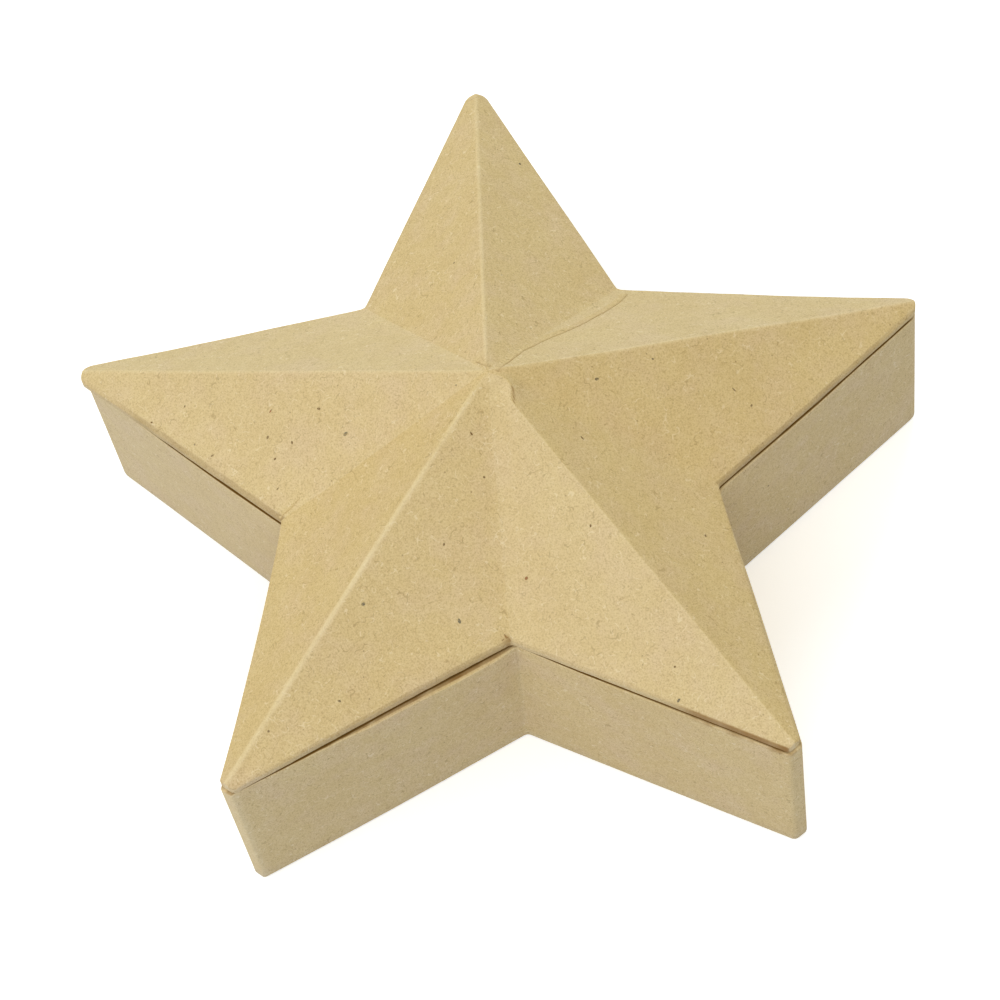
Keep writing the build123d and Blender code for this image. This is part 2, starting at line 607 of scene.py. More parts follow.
# Rings of the lid: shares of the rim's round, insets over the bent strip, where
# the faces' and the peak's own rings start, how many there are of each, and
# how near to the middle the last one lies
ROUND_SHARES = [0.0, 0.03, 0.1, 0.22, 0.4, 0.65, 1.0]
STRIP_INSETS = [0.3, 0.4, 0.5, 0.6, 0.7, 0.82, 0.95, 1.1, 1.3, 1.6]
FACE_START = 2.2
FACE_RINGS = 25
PEAK_START = 38.4
PEAK_RINGS = 26
PEAK_END = 0.994


def lid_rings(depth):
    """Rings from the lid's rim to its peak, close where it bends most."""
    rim = [share * ROUND_REACH * RIM_ROUND for share in ROUND_SHARES]
    faces = even_steps(FACE_START, PEAK_START, FACE_RINGS)
    middle = even_steps(PEAK_START, APOTHEM * PEAK_END - depth, PEAK_RINGS)
    insets = rim + STRIP_INSETS + faces + middle
    return [(depth + inset, on_lid(depth, inset)) for inset in insets]


def close_peak(mesh, ring):
    """Draw the last ring together into one point."""
    corners = ring_corners(ring)
    middle = sum((vert.co for vert in corners), Vector()) / len(corners)
    bmesh.ops.pointmerge(mesh, verts=corners, merge_co=middle)


def shift_in_plan(mesh, shift_at):
    """Move every vertex in plan by a rule of its place."""
    for vert in mesh.verts:
        shift = shift_at(vert.co.xy, vert.co.z)
        vert.co.x += shift.x
        vert.co.y += shift.y


def seat_lid(mesh):
    """Give a piece of the lid its unevenness, and move it to where it sits."""
    shift_in_plan(mesh, lid_shift)
    bmesh.ops.translate(mesh, vec=LID_SHIFT, verts=mesh.verts)


def mark(mesh, name, value_at):
    """Store a number at every vertex that a material reads."""
    layer = mesh.verts.layers.float.new(name)
    for vert in mesh.verts:
        vert[layer] = value_at(vert.co)


# Marks that the paper's material reads at each vertex. Patches are given as how
# much they vary, their size in mm and a seed.

# Brown glue spots on the lid, as place, reach and strength, and the shares of
# the reach between which they fade
LID_GLUE_SPOTS = [
    ((0.0, -52.6), 1.7, 0.55),
    ((-50.2, -16.0), 1.2, 0.2),
    ((61.5, -86.5), 2.6, 0.45),
]
SPOT_FADE = (0.2, 1.0)

# Glue smeared on the rim and the wall from the third tip on: where it ends on
# the way to the notch, how far in and down it goes, and its patches
SMEARED_SIDE = (2, 1)
RIM_SMEAR_END = (0.35, 0.5)
RIM_SMEAR_INSET = (0.1, 0.4)
RIM_SMEAR_PATCHES = (0.5, 4, 9.0)
WALL_SMEAR_END = (0.3, 0.5)
WALL_SMEAR_DEPTH = (1.5, 0.4)
WALL_SMEAR = 0.3
WALL_SMEAR_PATCHES = (0.9, 3, 5.0)

# Brown glue and painted shade on the ledge of wall that stands out past the lid, darker
# in towards the lid's edge: how far out it starts, as shares of the ledge, the least
# ledge that it is worked out for, and how near to its height a place counts as the
# wall's top
LEDGE_GLUE_SHADE_START = (0.4, 0.55)
LEDGE_GLUE_AND_SHADE = 0.8
LEDGE_PATCHES = (0.8, 3, 2.0)
LEAST_LEDGE = 0.2
TOP_DEPTH = 0.1

# Old dark glue and painted shade under the rim, up to this height over the rim's foot,
# and on top of the wall by the lid's edge, where the painted shade stands for the
# shadow in the gap under the lid: how far it goes out past the edge, how near the
# wall's face it may start, how wide it is, how soft its two edges are, its patches, and
# where it starts after the tip
GRIME_SHADE_HEIGHT = 0.1
GRIME_SHADE_OUTSIDE = 0.2
GRIME_SHADE_LEAST_INSET = 0.1
GRIME_SHADE_WIDTH = 1.2
GRIME_SHADE_OUTER_EDGE = 0.15
GRIME_SHADE_INNER_EDGE = 0.5
GRIME_SHADE_PATCHES = (0.5, 5, 70.0)
GRIME_SHADE_START = (0.03, 0.08)

# Painted shade on each side's rim and bent strip, which turns down away from the light:
# its share of the full dark brown, where it comes in after the tip, the share of the
# strip where it starts to fade, and its patches
RIM_STRIP_SHADE = {(1, 1): 0.24, (2, 1): 0.08, (3, 0): 0.24, (4, 0): 0.26}
STRIP_SHADE_START = (0.0, 0.45)
STRIP_SHADE_FADE = 0.7
STRIP_SHADE_PATCHES = (0.5, 6, 50.0)

# Pale bands along the lid's ridges, partly paper burnished by rubbing and partly a
# painted highlight on the crests: half width and strength on each, the share of the
# half width that is palest, its patches, and where it starts from the peak
RIDGE_RUBS_AND_HIGHLIGHTS = [(0.8, 0.7), (0.7, 0.5), (0.6, 0.2), (1.1, 1.1), (0.7, 0.4)]
RIDGE_RUB_HIGHLIGHT_CORE = 0.25
RIDGE_RUB_HIGHLIGHT_PATCHES = (0.6, 7, 40.0)
RIDGE_RUB_HIGHLIGHT_START = (1, 9)

# Pale paper on the tray: on each upright tip burnished by rubbing, with a painted
# highlight on the tip that faces the light, as strength and where it fades from the
# sharp corner; and a painted highlight along the top edge, as strength, depth and
# patches
TIP_RUBS_AND_HIGHLIGHTS = [0.3, 0.15, 0.0, 0.8, 0.2]
TIP_RUB_HIGHLIGHT_FADE = (4.6, 6.0)
TOP_EDGE_HIGHLIGHT = 0.7
TOP_EDGE_DEPTH = 0.25
TOP_EDGE_PATCHES = (1.0, 3, 8.0)

# Painted light and shade on whole sides, over some real difference between the sheets:
# how much paler than the rest each side is drawn, or browner below 0
LID_SIDE_LIGHT_AND_TONE = [(-0.2, 0.1), (1.0, -0.8), (-0.75, 1.0), (0.3, -0.75), (0.75, 1.1)]
TRAY_SIDE_LIGHT_AND_TONE = [(0, 0), (0, 0), (0, 0), (0, 0), (1.2, 0)]


def glue_and_crease_shade_on_lid(place):
    """Painted shade along the creases at the peak, and brown glue in spots and on one
    rim.
    """
    point = place.xy
    # Painted shade along the creases at the peak, laid in the glue mark
    glue = crease_strength(point)
    for middle, reach, strength in LID_GLUE_SPOTS:
        away = (point - Vector(middle)).length / reach
        glue = max(glue, strength * fade_out(*SPOT_FADE, away))
    arm, side, reach, along = side_place(point)
    if (arm, side) == SMEARED_SIDE:
        near_tip = fade_out(*RIM_SMEAR_END, along)
        on_rim = fade_out(*RIM_SMEAR_INSET, inset_from_side(point))
        patchy = 1.0 + ripple(place, *RIM_SMEAR_PATCHES)
        glue = max(glue, near_tip * on_rim * patchy)
    return glue


def grime_and_shade_on_lid(place):
    """Old glue and painted shade under the rim, and painted shade on the bent strip."""
    # Painted shade with old glue on the underside of the rim's fold
    if place.z < LID_BOTTOM + edge_lift(place.xy) + GRIME_SHADE_HEIGHT:
        return 1.0
    arm, side, reach, along = side_place(place.xy)
    # Painted shade on the bent strip of the rim
    strength = RIM_STRIP_SHADE.get((arm, side), 0.0) * (1 + ripple(place, *STRIP_SHADE_PATCHES))
    strength *= smooth_step(*STRIP_SHADE_START, along)
    width = bend_width(place.xy)
    return strength * fade_out(STRIP_SHADE_FADE * width, width, inset_from_side(place.xy))


def rub_and_highlight_on_lid(place):
    """Paper burnished pale along the ridges, with a painted highlight, unevenly."""
    rub = 0.0
    for tip, (half_width, strength) in zip(TIPS, RIDGE_RUBS_AND_HIGHLIGHTS):
        nearest = distance_to_path(place.xy, [PEAK, tip])
        near = fade_out(RIDGE_RUB_HIGHLIGHT_CORE * half_width, half_width, nearest)
        uneven = 1 + ripple(place, *RIDGE_RUB_HIGHLIGHT_PATCHES)
        rub = max(rub, strength * near * uneven)
    return rub * smooth_step(*RIDGE_RUB_HIGHLIGHT_START, (place.xy - PEAK).length)


def glue_and_shade_on_tray(place):
    """Brown glue pressed out at the top of the wall on two of its sides, with painted
    shade on the ledge by the lid.
    """
    arm, side, reach, along = side_place(place.xy)
    if (arm, side) == SMEARED_SIDE:
        near_tip = fade_out(*WALL_SMEAR_END, along)
        patchy = WALL_SMEAR + ripple(place, *WALL_SMEAR_PATCHES)
        low, high = (TRAY_TOP - depth for depth in WALL_SMEAR_DEPTH)
        return near_tip * patchy * smooth_step(low, high, place.z)
    if (arm, side) != BADLY_FITTING_SIDE or place.z < TRAY_TOP - TOP_DEPTH:
        return 0.0
    # Glue and painted shade on the ledge, darker in towards the lid's edge
    ledge = max(lid_edge_inset(place.xy), LEAST_LEDGE)
    patchy = LEDGE_GLUE_AND_SHADE + ripple(place, *LEDGE_PATCHES)
    start, full = (share * ledge for share in LEDGE_GLUE_SHADE_START)
    return patchy * smooth_step(start, full, inset_from_side(place.xy))


def grime_and_shade_on_tray(place):
    """Old glue and painted shade on top of the wall, a thin uneven dark line by the
    lid's edge.
    """
    if place.z < TRAY_TOP - TOP_DEPTH:
        return 0.0
    arm, side, reach, along = side_place(place.xy)
    inset = inset_from_side(place.xy)
    start = max(lid_edge_inset(place.xy) - GRIME_SHADE_OUTSIDE, GRIME_SHADE_LEAST_INSET)
    end = start + GRIME_SHADE_WIDTH * (1 + ripple(place, *GRIME_SHADE_PATCHES))
    off_tip = smooth_step(*GRIME_SHADE_START, along)
    off_inside = fade_out(end - GRIME_SHADE_INNER_EDGE, end, inset)
    return off_tip * off_inside * smooth_step(start, start + GRIME_SHADE_OUTER_EDGE, inset)


def rub_and_highlight_on_tray(place):
    """Paper burnished pale at the upright tips with a painted highlight, and a painted
    highlight along the top edge.
    """
    rub = 0.0
    for tip, strength in zip(TIPS, TIP_RUBS_AND_HIGHLIGHTS):
        rub = max(rub, strength * fade_out(*TIP_RUB_HIGHLIGHT_FADE, (place.xy - tip).length))
    if place.z > TRAY_TOP - TOP_EDGE_DEPTH:
        rub = max(rub, TOP_EDGE_HIGHLIGHT * (1 + ripple(place, *TOP_EDGE_PATCHES)))
    return rub


def side_light_and_tone_by(sides):
    """Rule for the painted light and shade of each side, from a number for each side.
    """

    def side_light_and_tone_at(place):
        arm, side, reach, along = side_place(drawn_over(place.xy))
        return sides[arm][side]

    return side_light_and_tone_at


def put_in_scene(name, mesh, body, finish, replaced, sheet=0.0):
    """Make the mesh a piece in metres that rides on a body of the box."""
    bmesh.ops.recalc_face_normals(mesh, faces=mesh.faces)
    for face in mesh.faces:
        face.smooth = True
    bmesh.ops.scale(mesh, vec=(MM, MM, MM), verts=mesh.verts)
    data = bpy.data.meshes.new(name)
    mesh.to_mesh(data)
    mesh.free()
    piece = bpy.data.objects.new(name, data)
    bpy.context.scene.collection.objects.link(piece)
    if sheet:
        thick = piece.modifiers.new("sheet", "SOLIDIFY")
        thick.thickness = sheet * MM
        thick.offset = -1
    slot, material = finish
    data.materials.append(material)
    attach(piece, body)
    if replaced:
        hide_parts(replaced)
    return piece


# The main skins. Their rings are insets from the outline and heights. The
# foot of the lid's paper is given as inset and height over its lowest point,
# and the skin of the board stays this far inside the paper's.
LID_FOOT = [
    (PAPER + BOARD, 0.0),
    (0.9, 0.0),
    (0.25, 0.0),
    (0.07, 0.07),
    (0.0, 0.22),
    (0.0, 0.42),
]
LID_BOARD_CLEAR = 0.1


def make_lid_paper(finish):
    """Kraft paper over the pyramid, turned under the board's edge."""
    mesh = bmesh.new()
    foot = [(inset, lifted_level(LID_BOTTOM + rise)) for inset, rise in LID_FOOT]
    _, last = star_sleeve(mesh, LID_TIP_CUTS, PEAK, foot + lid_rings(0.0))
    close_peak(mesh, last)
    mark(mesh, "glue", glue_and_crease_shade_on_lid)
    mark(mesh, "grime_and_shade", grime_and_shade_on_lid)
    mark(mesh, "rubbed_and_highlight", rub_and_highlight_on_lid)
    mark(mesh, "side_light_and_tone", side_light_and_tone_by(LID_SIDE_LIGHT_AND_TONE))
    seat_lid(mesh)
    put_in_scene("lid_paper", mesh, "lid", finish, "lid_wrap", PAPER)


def make_lid_board(finish):
    """Board pyramid under the paper, bare on its inside."""
    mesh = bmesh.new()
    outer = PAPER + LID_BOARD_CLEAR
    inner = PAPER + BOARD
    foot = lifted_level(LID_BOTTOM + BOARD_FOOT)
    rings = lid_rings(inner)[::-1] + [(inner, foot), (outer, foot)] + lid_rings(outer)
    first, last = star_sleeve(mesh, LID_TIP_CUTS, PEAK, rings)
    close_peak(mesh, first)
    close_peak(mesh, last)
    seat_lid(mesh)
    put_in_scene("lid_board", mesh, "lid", finish, "lid_shell")


# The tray's paper: under the floor as inset and height over its foot, where
# the upright part of the wall starts and ends, its top edge as inset and depth
# under the top, then how far the flat top and the inner edge stay off the
# inside. Rings on the wall, on its top and down its inside.
TRAY_PAPER_FOOT = [(TURN_UNDER, 0.0), (5.0, 0.0), (0.5, 0.0), (0.15, 0.15)]
WALL_START = 0.5
WALL_END = 1.5
TRAY_PAPER_EDGE = [(0.0, 0.9), (0.0, 0.3), (0.08, 0.08)]
TOP_START = 0.15
TOP_END = 0.4
INNER_EDGE = 0.15
INSIDE_START = 0.5
WALL_RINGS = 14
TOP_RINGS = 14
INSIDE_RINGS = 5

# How far the board's skin in the wall stays clear of the paper outside and
# above it, of the paper inside it, and of the paper under it
BOARD_CLEAR_OUTSIDE = 0.05
BOARD_CLEAR_INSIDE = 0.04
BOARD_CLEAR_BELOW = 0.02


def make_tray_paper(finish):
    """Kraft paper over the wall, turned down inside and under the floor."""
    mesh = bmesh.new()
    inside = 2 * PAPER + BOARD
    wall = steps_to(TRAY_FOOT + WALL_START, TRAY_TOP - WALL_END, WALL_RINGS)
    top = steps_to(TOP_START, inside - TOP_END, TOP_RINGS)
    lining = steps_to(TRAY_TOP - INSIDE_START, TRAY_TOP - TURN_IN, INSIDE_RINGS)
    profile = [(inset, TRAY_FOOT + rise) for inset, rise in TRAY_PAPER_FOOT]
    profile += [(0.0, height) for height in wall]
    profile += [(inset, TRAY_TOP - depth) for inset, depth in TRAY_PAPER_EDGE]
    profile += [(inset, TRAY_TOP) for inset in top]
    profile.append((inside - INNER_EDGE, TRAY_TOP - INNER_EDGE))
    profile += [(inside, height) for height in lining]
    rings = [(inset, level(height)) for inset, height in profile]
    star_sleeve(mesh, TRAY_TIP_CUTS, Vector((0, 0)), rings)
    mark(mesh, "glue", glue_and_shade_on_tray)
    mark(mesh, "grime_and_shade", grime_and_shade_on_tray)
    mark(mesh, "rubbed_and_highlight", rub_and_highlight_on_tray)
    mark(mesh, "side_light_and_tone", side_light_and_tone_by(TRAY_SIDE_LIGHT_AND_TONE))
    shift_in_plan(mesh, tray_shift)
    put_in_scene("tray_paper", mesh, "tray", finish, "tray_wrap", PAPER)


def make_tray_board(finish):
    """Strip of board inside the wall, ten panels in one piece."""
    mesh = bmesh.new()
    outer = PAPER + BOARD_CLEAR_OUTSIDE
    inner = PAPER + BOARD - BOARD_CLEAR_INSIDE
    wall = steps_to(FLOOR_BOTTOM + BOARD_CLEAR_BELOW, TRAY_TOP - outer, WALL_RINGS)
    profile = [(outer, height) for height in wall]
    profile += [(inner, height) for height in reversed(wall)]
    rings = [(inset, level(height)) for inset, height in profile]
    first, last = star_sleeve(mesh, TRAY_TIP_CUTS, Vector((0, 0)), rings)
    bmesh.ops.bridge_loops(mesh, edges=first + last)
    shift_in_plan(mesh, tray_shift)
    put_in_scene("tray_board", mesh, "tray", finish, "tray_wall")


# Laps where one arm's paper ends on the next arm, as their free edges: one
# along the first valley, and a short one at the notch after the fourth arm
VALLEY_LAP = [
    (4.1, 0.4),
    (5.2, 1.7),
    (7.3, 5.3),
    (9.5, 8.9),
    (11.6, 11.7),
    (13.8, 14.3),
    (17.9, 18.3),
    (22.1, 22.4),
    (25.9, 26.6),
    (31.2, 33.6),
    (34.0, 39.2),
]
NOTCH_LAP = [(-50.3, -16.2), (-48.7, -15.2), (-46.9, -14.4), (-45.2, -13.3)]

# How far apart a lap's vertices are, how deep its free edge is sunk in the paper under
# it, its height over that paper at each mm across, how much the edge shakes, and its
# dark line of glue and painted shadow of the edge: at the edge, on top, and how far in
# that goes
LAP_STEP = 0.8
LAP_SKIRT = -0.15
LAP_WIDTH = [(0.0, 0.07), (0.12, 0.1), (0.6, 0.09), (1.6, 0.03), (2.6, -0.12)]
LAP_SHAKE = (0.2, 3.0, 4.4)
LAP_EDGE_GLUE_AND_SHADOW = 0.85
LAP_TOP_GLUE_AND_SHADOW = 0.4
LAP_GLUE_REACH = 0.3


def make_paper_lap(name, path, share, finish):
    """Thin edge of overlapping paper, with a share of the full width."""
    mesh = bmesh.new()
    corners = [mesh.verts.new((*place, 0)) for place in path]
    edges = [mesh.edges.new(pair) for pair in zip(corners, corners[1:])]
    for edge in edges:
        cuts = round(edge.calc_length() / LAP_STEP) - 1
        if cuts > 0:
            bmesh.ops.subdivide_edges(mesh, edges=[edge], cuts=cuts)
    for vert in mesh.verts:
        shake = ripple(vert.co, *LAP_SHAKE)
        vert.co.x += shake
        vert.co.y -= shake
        vert.co.z = lid_height(vert.co.xy) + LAP_SKIRT
    outward = (Vector(path[-1]) - Vector(path[0])).normalized()
    inward = Vector((-outward.y, outward.x))
    # The glue mark on a lap also carries the painted shadow that its free edge casts
    layer = mesh.verts.layers.float.new("glue")
    for vert in mesh.verts:
        vert[layer] = LAP_EDGE_GLUE_AND_SHADOW
    ring = mesh.edges[:]
    before = 0.0
    for across, lift in LAP_WIDTH:
        grown = bmesh.ops.extrude_edge_only(mesh, edges=ring)["geom"]
        moved = [part for part in grown if isinstance(part, bmesh.types.BMVert)]
        for vert in moved:
            vert.co.xy += inward * ((across - before) * share)
            vert.co.z = lid_height(vert.co.xy) + lift
            vert[layer] = LAP_TOP_GLUE_AND_SHADOW * fade_out(0.0, LAP_GLUE_REACH, across)
        edges = [part for part in grown if isinstance(part, bmesh.types.BMEdge)]
        ring = [edge for edge in edges if set(edge.verts) <= set(moved)]
        before = across
    seat_lid(mesh)
    put_in_scene(name, mesh, "lid", finish, None)


# Coloured flecks of the recycled pulp that show on the lid's face, each as
# place, length and width in mm, heading in degrees and kind of fleck
FLECKS = [
    (-32.9, -2.6, 1.3, 1.0, 20, "slate"),
    (-38.9, 4.7, 1.1, 0.6, 150, "brown"),
    (-29.9, -47.4, 1.2, 0.8, 40, "slate"),
    (-9.8, -49.4, 1.3, 0.9, 100, "slate"),
    (-1.3, -20.8, 0.7, 0.6, 0, "brown"),
    (-11.4, -34.6, 0.9, 0.5, 70, "brown"),
    (6.0, -41.4, 1.0, 0.9, 10, "rust"),
    (-3.1, -12.4, 1.0, 0.5, 120, "brown"),
    (-50.6, -2.7, 0.8, 0.6, 30, "brown"),
    (-36.9, -66.7, 0.7, 0.6, 0, "dark"),
    (9.2, 81.2, 0.8, 0.7, 60, "dark"),
    (25.5, 2.2, 1.1, 0.7, 20, "dark"),
    (21.5, -12.4, 1.4, 0.5, 130, "brown"),
    (59.5, 1.8, 0.9, 0.5, 50, "brown"),
    (55.9, 4.7, 1.2, 0.4, 140, "brown"),
    (38.4, 8.3, 0.6, 0.5, 0, "dark"),
    (22.3, -34.6, 0.8, 0.6, 80, "brown"),
    (38.4, -71.5, 1.2, 0.7, 30, "slate"),
    (38.3, -65.0, 0.7, 0.5, 0, "brown"),
    (47.1, -32.0, 0.9, 0.5, 110, "brown"),
    (-64.7, 5.8, 0.9, 0.4, 20, "brown"),
    (-52.0, 2.5, 1.0, 0.7, 60, "brown"),
    (-46.1, -0.5, 1.0, 0.6, 100, "brown"),
    (-66.0, 2.2, 1.0, 0.5, 10, "brown"),
    (-50.4, -9.5, 0.9, 0.4, 30, "brown"),
    (-50.7, 7.9, 1.2, 0.4, 40, "rust"),
    (-80.7, 13.8, 0.7, 0.5, 0, "brown"),
    (-72.1, 15.3, 0.7, 0.4, 70, "brown"),
    (-0.2, -51.9, 1.5, 0.5, 120, "glue"),
    (-0.8, -52.6, 1.1, 0.4, 35, "glue"),
    (0.5, -52.4, 1.5, 0.4, 130, "glue"),
]

# Corners of a fleck, its height over the paper, the share of its written size
# that it is drawn at, and how much and over what size its outline wanders
FLECK_CORNERS = 9
FLECK_RISE = 0.04
FLECK_SHARE = 0.8
FLECK_OUTLINE = (0.3, 0.4)


def make_flecks(kind, material):
    """Flat flecks of one colour that lie in the lid's paper."""
    mesh = bmesh.new()
    for x, y, length, width, heading, name in FLECKS:
        if name != kind:
            continue
        made = bmesh.ops.create_circle(
            mesh, cap_ends=True, radius=0.5, segments=FLECK_CORNERS
        )["verts"]
        turn = math.radians(heading)
        for vert in made:
            size = FLECK_SHARE * (1 + ripple(vert.co, *FLECK_OUTLINE, x + y))
            along = vert.co.x * length * size
            across = vert.co.y * width * size
            vert.co.x = x + along * math.cos(turn) - across * math.sin(turn)
            vert.co.y = y + along * math.sin(turn) + across * math.cos(turn)
            vert.co.z = lid_height(vert.co.xy) + FLECK_RISE
    seat_lid(mesh)
    bmesh.ops.recalc_face_normals(mesh, faces=mesh.faces)
    for face in mesh.faces:
        if face.normal.z < 0:
            face.normal_flip()
    put_in_scene("lid_flecks_" + kind, mesh, "lid", ("kraft_paper", material), None)


# Materials

# Places of the sockets of a colour mix
SHARE, UNDER, OVER, LAID = 0, 6, 7, 2
WHITE = (1.0, 1.0, 1.0, 1.0)


def linear(value):
    """One sRGB channel from 0 to 1 as linear light."""
    return value / 12.92 if value <= 0.04045 else ((value + 0.055) / 1.055) ** 2.4


def colour(hex_code):
    """An sRGB hex colour as the linear colour that nodes take."""
    channels = [int(hex_code[place : place + 2], 16) / 255 for place in (1, 3, 5)]
    return (*[linear(channel) for channel in channels], 1.0)


def add(tree, kind, links=(), **settings):
    """Add a node, set its properties, and fill its inputs by name or place."""
    node = tree.nodes.new(kind)
    for name, value in settings.items():
        setattr(node, name, value)
    for name, source in dict(links).items():
        if isinstance(source, bpy.types.NodeSocket):
            tree.links.new(source, node.inputs[name])
        else:
            node.inputs[name].default_value = source
    return node


def scale_for(size):
    """Scale of a pattern on coordinates in metres, from its size in mm."""
    return 1 / (size * MM)


def new_material(name):
    """Empty node material with a surface shader joined to its output."""
    material = bpy.data.materials.new(name)
    material.use_nodes = True
    tree = material.node_tree
    tree.nodes.clear()
    shader = add(tree, "ShaderNodeBsdfPrincipled")
    output = add(tree, "ShaderNodeOutputMaterial")
    tree.links.new(shader.outputs["BSDF"], output.inputs["Surface"])
    return material, tree, shader


def patches(tree, coords, size, levels, strength, under, over, seed):
    """Lay a colour over another in soft patches of a size in mm."""
    settings = {
        "Vector": coords,
        "W": seed,
        "Scale": scale_for(size),
        "Detail": 3.0,
        "Roughness": 0.6,
    }
    pattern = add(tree, "ShaderNodeTexNoise", settings, noise_dimensions="4D")
    settings = {
        "Value": pattern.outputs["Fac"],
        "From Min": levels[0],
        "From Max": levels[1],
        "To Max": strength,
    }
    share = add(tree, "ShaderNodeMapRange", settings).outputs[0]
    settings = {SHARE: share, UNDER: under, OVER: over}
    return add(tree, "ShaderNodeMix", settings, data_type="RGBA").outputs[LAID]


# Hairs are cut to length by a second noise: its size as a share of the first,
# how soft its cuts are, and how far its seed is from the first
HAIR_CUT_SIZE = 0.55
HAIR_CUT_SOFT = 0.06
HAIR_CUT_SEED = 7.0


def hairs(tree, coords, size, width, cover, strength, under, over, seed):
    """Lay short curved hairs: thin contour lines of one noise, cut by another."""
    settings = {
        "Vector": coords,
        "W": seed,
        "Scale": scale_for(size),
        "Detail": 1.0,
        "Roughness": 0.4,
    }
    lines = add(tree, "ShaderNodeTexNoise", settings, noise_dimensions="4D")
    settings = {0: lines.outputs["Fac"], 1: 0.5, 2: width}
    on_line = add(tree, "ShaderNodeMath", settings, operation="COMPARE")
    settings = {
        "Vector": coords,
        "W": seed + HAIR_CUT_SEED,
        "Scale": scale_for(size * HAIR_CUT_SIZE),
        "Detail": 1.0,
    }
    pieces = add(tree, "ShaderNodeTexNoise", settings, noise_dimensions="4D")
    settings = {
        "Value": pieces.outputs["Fac"],
        "From Min": cover,
        "From Max": cover + HAIR_CUT_SOFT,
        "To Max": strength,
    }
    kept = add(tree, "ShaderNodeMapRange", settings)
    settings = {0: on_line.outputs[0], 1: kept.outputs[0]}
    share = add(tree, "ShaderNodeMath", settings, operation="MULTIPLY").outputs[0]
    settings = {SHARE: share, UNDER: under, OVER: over}
    return add(tree, "ShaderNodeMix", settings, data_type="RGBA").outputs[LAID]


# Share of a speck's radius that has its full strength
SPECK_CORE = 0.6


def specks(tree, coords, spacing, radius, chosen, strength, under, over, seed):
    """Lay round specks, on a share of the cells of a scattered pattern."""
    moved = add(tree, "ShaderNodeVectorMath", {0: coords, 1: (seed, seed, seed)})
    settings = {"Vector": moved.outputs[0], "Scale": scale_for(spacing)}
    cells = add(tree, "ShaderNodeTexVoronoi", settings)
    settings = {
        "Value": cells.outputs["Distance"],
        "From Min": radius / spacing,
        "From Max": SPECK_CORE * radius / spacing,
        "To Max": strength,
    }
    dot = add(tree, "ShaderNodeMapRange", settings)
    channel = add(tree, "ShaderNodeSeparateColor", {0: cells.outputs["Color"]})
    settings = {0: channel.outputs[0], 1: chosen}
    picked = add(tree, "ShaderNodeMath", settings, operation="LESS_THAN")
    settings = {0: dot.outputs[0], 1: picked.outputs[0]}
    share = add(tree, "ShaderNodeMath", settings, operation="MULTIPLY").outputs[0]
    settings = {SHARE: share, UNDER: under, OVER: over}
    return add(tree, "ShaderNodeMix", settings, data_type="RGBA").outputs[LAID]


def marked(tree, name, strength, under, over):
    """Lay a colour where the piece carries a number of this name."""
    value = add(tree, "ShaderNodeAttribute", attribute_name=name)
    settings = {0: value.outputs["Fac"], 1: strength}
    share = add(
        tree, "ShaderNodeMath", settings, operation="MULTIPLY", use_clamp=True
    ).outputs[0]
    settings = {SHARE: share, UNDER: under, OVER: over}
    return add(tree, "ShaderNodeMix", settings, data_type="RGBA").outputs[LAID]


TOOTH_SEED = 9.0


def paper_tooth(tree, shader, coords, size, strength, depth):
    """Raise and sink the surface by a grain of a size and depth in mm."""
    settings = {
        "Vector": coords,
        "W": TOOTH_SEED,
        "Scale": scale_for(size),
        "Detail": 4.0,
        "Roughness": 0.75,
    }
    grain = add(tree, "ShaderNodeTexNoise", settings, noise_dimensions="4D")
    settings = {
        "Strength": strength,
        "Distance": depth * MM,
        "Height": grain.outputs["Fac"],
    }
    bump = add(tree, "ShaderNodeBump", settings)
    tree.links.new(bump.outputs["Normal"], shader.inputs["Normal"])


def pulp(tree, coords, tone, clouds, fibres, dots):
    """Colour of pressed pulp: clouds, hairs and specks laid on it in turn."""
    for size, levels, strength, shade, seed in clouds:
        over = colour(shade)
        tone = patches(tree, coords, size, levels, strength, tone, over, seed)
    for size, width, cover, strength, shade, seed in fibres:
        over = colour(shade)
        tone = hairs(tree, coords, size, width, cover, strength, tone, over, seed)
    for spacing, radius, chosen, strength, shade, seed in dots:
        over = colour(shade)
        tone = specks(tree, coords, spacing, radius, chosen, strength, tone, over, seed)
    return tone


# Layers of the paper's and the board's colour. A cloud is its size in mm, the
# levels of the noise between which it comes in, strength, colour and seed. A
# fibre is its size, its width on the noise, the level it is cut at, strength,
# colour and seed. A dot is its spacing and radius in mm, the share of places
# that have one, strength, colour and seed.
KRAFT_CLOUDS = [
    (26, (0.32, 0.68), 0.9, "#D5BA82", 0.0),
    (10, (0.45, 0.70), 0.6, "#DBC098", 2.0),
    (4.0, (0.48, 0.72), 0.28, "#CDB27D", 3.0),
    (4.0, (0.50, 0.28), 0.26, "#E2CC9C", 3.0),
    (1.1, (0.50, 0.75), 0.18, "#C3A574", 4.0),
    (1.1, (0.50, 0.27), 0.14, "#E9D4A8", 4.0),
    (0.38, (0.50, 0.72), 0.75, "#B3935E", 5.0),
    (0.38, (0.50, 0.28), 0.40, "#EED8A8", 5.0),
]
KRAFT_FIBRES = [
    (3.2, 0.010, 0.56, 0.45, "#A3834F", 1.0),
    (1.8, 0.012, 0.60, 0.35, "#A88957", 1.5),
    (2.6, 0.012, 0.52, 0.40, "#F2E0B8", 2.0),
]
KRAFT_DOTS = [
    (3.4, 0.25, 0.7, 0.55, "#8C6A3E", 0.1),
    (9.0, 0.34, 0.4, 0.75, "#6E5437", 0.37),
]
BOARD_CLOUDS = [
    (18, (0.32, 0.68), 1.0, "#AA9679", 0.0),
    (1.1, (0.50, 0.72), 0.6, "#87745A", 5.0),
]
